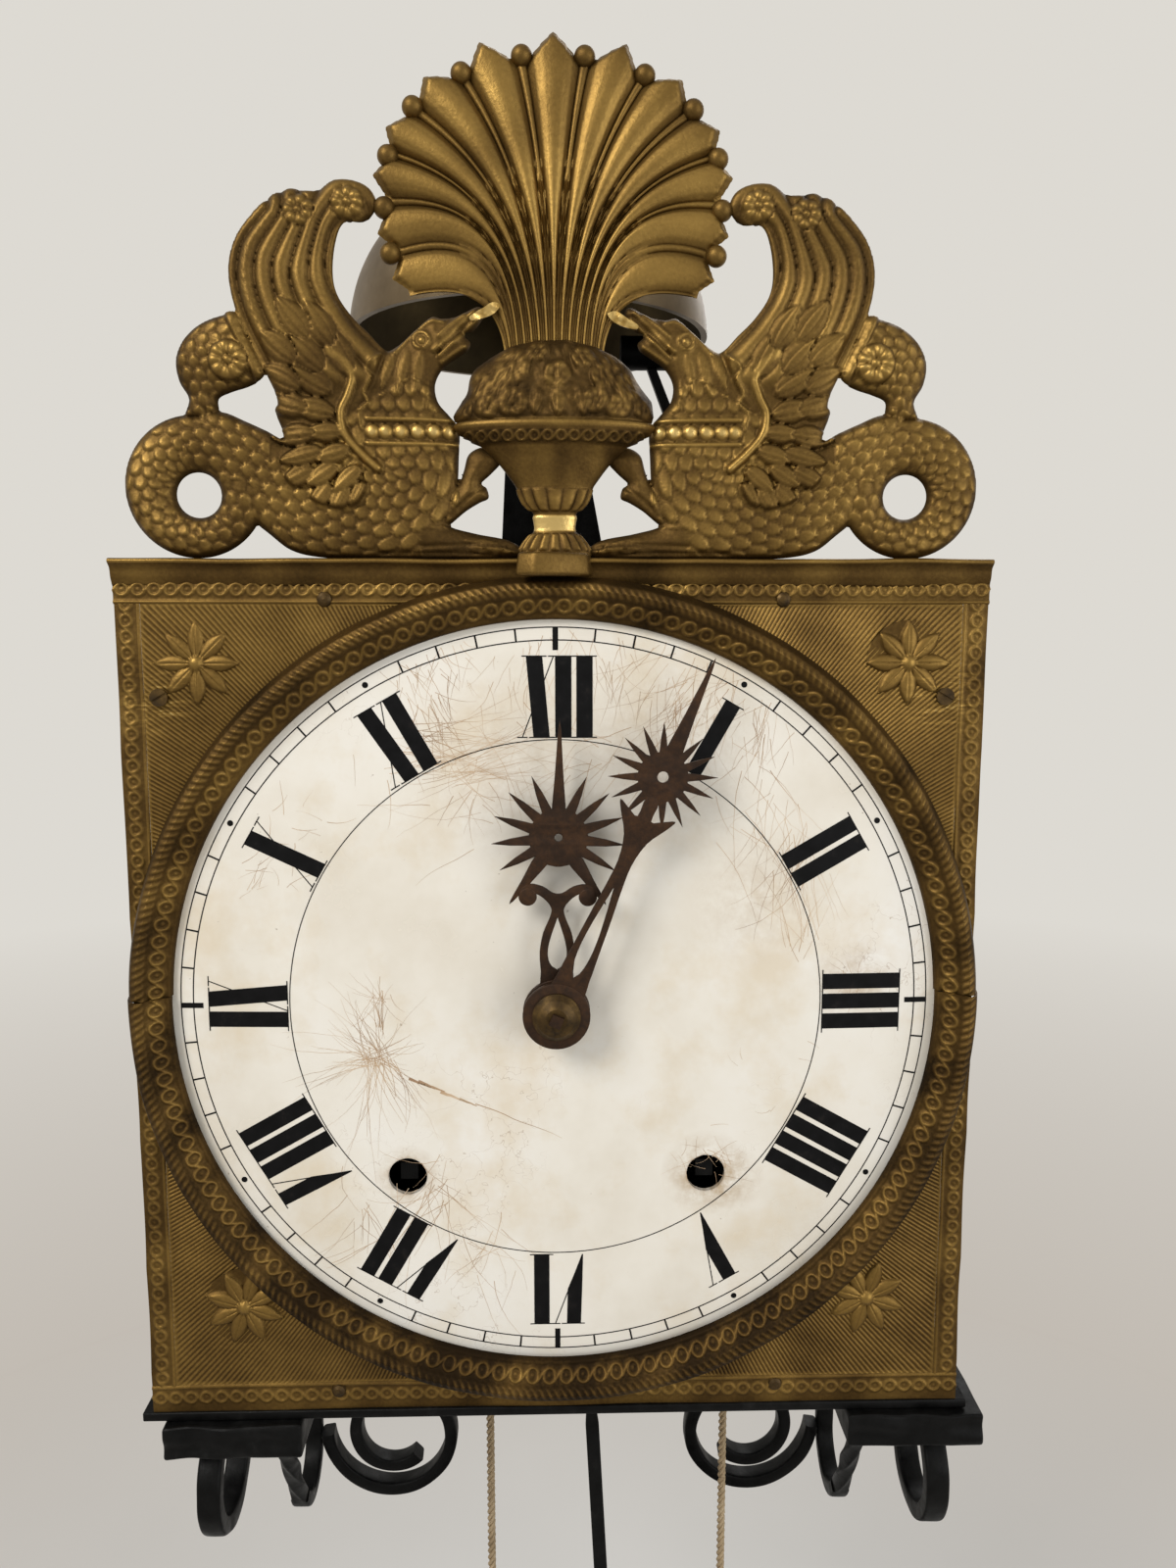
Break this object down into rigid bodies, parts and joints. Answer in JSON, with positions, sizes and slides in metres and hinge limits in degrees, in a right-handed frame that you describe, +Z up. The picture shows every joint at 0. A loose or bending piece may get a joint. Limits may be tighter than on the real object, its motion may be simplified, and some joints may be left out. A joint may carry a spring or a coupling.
{
  "type": "comtoise clock",
  "caption": "Wall-hung comtoise clock with a stamped brass front, enamel dial, sunburst hands, bell, pendulum and weights, standing on a forged iron wall bracket.",
  "frame": {"origin": "middle of the four wall screws, on the wall's plane", "axes": "+X right, +Y into the wall, +Z up; the dial faces -Y"},
  "size_m": [0.2775, 0.1839, 0.9117],
  "materials": {
    "stamped_brass": "patinated",
    "movement_brass": "satin",
    "enamel": "gloss",
    "hand_steel": "rusted",
    "movement_steel": "satin",
    "bell_metal": "satin",
    "black_iron": "matt",
    "sheet_iron": "matt",
    "hemp": "matt"
  },
  "bodies": {
    "case": {"bottom_plate": "black_iron", "top_plate": "sheet_iron", "corner_posts": "sheet_iron", "back_panel": "sheet_iron", "going_front_bar": "black_iron", "going_rear_bar": "black_iron", "strike_front_bar": "black_iron", "strike_rear_bar": "black_iron", "pendulum_cock": "black_iron", "anchor_cock": "black_iron", "hammer_cocks": "black_iron", "motion_bridge": "black_iron", "rack_guides": "movement_steel", "upper_front_plate": "stamped_brass", "lower_front_plate": "stamped_brass", "crest": "stamped_brass", "dial": "enamel", "front_nails": "stamped_brass", "front_screws": "hand_steel", "bell_stand": "black_iron", "bell": "bell_metal", "bell_nut": "black_iron", "left_arm": "black_iron", "right_arm": "black_iron", "left_scroll": "black_iron", "right_scroll": "black_iron", "left_spiral": "black_iron", "right_spiral": "black_iron"},
    "minute_hand": {"minute_hand": "hand_steel", "centre_arbor": "movement_brass", "hand_collet": "stamped_brass"},
    "hour_hand": {"hour_hand": "hand_steel", "hour_wheel": "movement_brass"},
    "reverse_wheel": {"reverse_wheel": "movement_brass"},
    "going_great_wheel": {"going_great_wheel": "movement_brass"},
    "going_second_wheel": {"going_second_wheel": "movement_brass"},
    "going_third_wheel": {"going_third_wheel": "movement_brass"},
    "escape_wheel": {"escape_wheel": "movement_brass"},
    "centre_wheel": {"centre_wheel": "movement_brass"},
    "going_drum": {"going_drum": "movement_steel", "going_winding": "hemp"},
    "strike_great_wheel": {"strike_great_wheel": "movement_brass"},
    "pin_wheel": {"pin_wheel": "movement_brass"},
    "strike_third_wheel": {"strike_third_wheel": "movement_brass"},
    "fly": {"fly": "movement_brass"},
    "strike_drum": {"strike_drum": "movement_steel", "strike_winding": "hemp"},
    "anchor": {"anchor": "movement_steel"},
    "pendulum": {"pendulum_wire": "black_iron", "pendulum_strip": "black_iron", "pendulum_bob": "stamped_brass"},
    "hammer": {"hammer": "black_iron"},
    "strike_rack": {"strike_rack": "movement_steel"},
    "going_weight": {"going_weight": "black_iron", "going_cord": "hemp"},
    "strike_weight": {"strike_weight": "black_iron", "strike_cord": "hemp"},
    "left_door": {"left_door": "sheet_iron"},
    "right_door": {"right_door": "sheet_iron"}
  },
  "joints": [
    {"name": "minute_hand_turn", "type": "hinge", "parent": "case", "child": "minute_hand", "pos_m": [-0.006, -0.107, 0.1], "axis": [0, 1, 0], "continuous": true},
    {"name": "hour_hand_turn", "type": "hinge", "parent": "case", "child": "hour_hand", "pos_m": [-0.006, -0.107, 0.1], "axis": [0, 1, 0], "continuous": true},
    {"name": "reverse_wheel_turn", "type": "hinge", "parent": "case", "child": "reverse_wheel", "pos_m": [-0.02617, -0.107, 0.07], "axis": [0, 1, 0], "continuous": true},
    {"name": "escape_turn", "type": "hinge", "parent": "case", "child": "escape_wheel", "pos_m": [-0.006, -0.107, 0.13454], "axis": [0, 1, 0], "continuous": true},
    {"name": "going_third_turn", "type": "hinge", "parent": "case", "child": "going_third_wheel", "pos_m": [0.02189, -0.107, 0.12159], "axis": [0, 1, 0], "continuous": true},
    {"name": "going_second_turn", "type": "hinge", "parent": "case", "child": "going_second_wheel", "pos_m": [0.042, -0.107, 0.09155], "axis": [0, 1, 0], "continuous": true},
    {"name": "going_great_turn", "type": "hinge", "parent": "case", "child": "going_great_wheel", "pos_m": [0.042, -0.107, 0.043], "axis": [0, 1, 0], "continuous": true},
    {"name": "centre_wheel_turn", "type": "hinge", "parent": "case", "child": "centre_wheel", "pos_m": [-0.006, -0.107, 0.1], "axis": [0, 1, 0], "continuous": true},
    {"name": "fly_turn", "type": "hinge", "parent": "case", "child": "fly", "pos_m": [-0.054, -0.107, 0.15195], "axis": [0, 1, 0], "continuous": true},
    {"name": "strike_third_turn", "type": "hinge", "parent": "case", "child": "strike_third_wheel", "pos_m": [-0.054, -0.107, 0.1257], "axis": [0, 1, 0], "continuous": true},
    {"name": "pin_wheel_turn", "type": "hinge", "parent": "case", "child": "pin_wheel", "pos_m": [-0.054, -0.107, 0.09155], "axis": [0, 1, 0], "continuous": true},
    {"name": "strike_great_turn", "type": "hinge", "parent": "case", "child": "strike_great_wheel", "pos_m": [-0.054, -0.107, 0.043], "axis": [0, 1, 0], "continuous": true},
    {"name": "pendulum_swing", "type": "hinge", "parent": "case", "child": "pendulum", "pos_m": [-0.006, -0.107, 0.162], "axis": [0, 1, 0], "range_deg": [-0.9, 7]},
    {"name": "anchor_rock", "type": "hinge", "parent": "case", "child": "anchor", "pos_m": [-0.006, -0.107, 0.162], "axis": [0, 1, 0], "range_deg": [-0.9, 7]},
    {"name": "hammer_lift", "type": "hinge", "parent": "case", "child": "hammer", "pos_m": [0.069, -0.107, 0.212], "axis": [0, 1, 0], "range_deg": [-8, 0], "stiffness_Nm_per_rad": 0.6, "springref_deg": 8.59},
    {"name": "rack_slide", "type": "slide", "parent": "case", "child": "strike_rack", "axis": [0, 0, 1], "range_m": [0, 0.038]},
    {"name": "going_weight_wind", "type": "slide", "parent": "case", "child": "going_weight", "axis": [0, 0, 1], "range_m": [0, 0.08], "deforming": ["going_cord"]},
    {"name": "strike_weight_wind", "type": "slide", "parent": "case", "child": "strike_weight", "axis": [0, 0, 1], "range_m": [0, 0.08], "deforming": ["strike_cord"]},
    {"name": "going_drum_turn", "type": "hinge", "parent": "case", "child": "going_drum", "pos_m": [0.042, -0.107, 0.043], "axis": [0, 1, 0], "range_deg": [-230, 0]},
    {"name": "strike_drum_turn", "type": "hinge", "parent": "case", "child": "strike_drum", "pos_m": [-0.054, -0.107, 0.043], "axis": [0, 1, 0], "range_deg": [-230, 0]},
    {"name": "left_door_hinge", "type": "hinge", "parent": "case", "child": "left_door", "pos_m": [-0.133, -0.0191, 0.1], "axis": [0, 0, 1], "range_deg": [-90, 0]},
    {"name": "right_door_hinge", "type": "hinge", "parent": "case", "child": "right_door", "pos_m": [0.121, -0.0191, 0.1], "axis": [0, 0, 1], "range_deg": [0, 90]}
  ],
  "couplings": [
    {"joint": "hour_hand_turn", "follows": "minute_hand_turn", "ratio": 0.083333},
    {"joint": "reverse_wheel_turn", "follows": "minute_hand_turn", "ratio": -1},
    {"joint": "going_third_turn", "follows": "escape_turn", "ratio": -0.13333},
    {"joint": "going_second_turn", "follows": "escape_turn", "ratio": 0.016667},
    {"joint": "going_great_turn", "follows": "escape_turn", "ratio": -0.0016667},
    {"joint": "centre_wheel_turn", "follows": "escape_turn", "ratio": -0.016667},
    {"joint": "strike_third_turn", "follows": "fly_turn", "ratio": -0.16},
    {"joint": "pin_wheel_turn", "follows": "fly_turn", "ratio": 0.021333},
    {"joint": "strike_great_turn", "follows": "fly_turn", "ratio": -0.0021333},
    {"joint": "anchor_rock", "follows": "pendulum_swing", "ratio": 1},
    {"joint": "going_drum_turn", "follows": "going_weight_wind", "rad_per_m": -50},
    {"joint": "strike_drum_turn", "follows": "strike_weight_wind", "rad_per_m": -50}
  ]
}
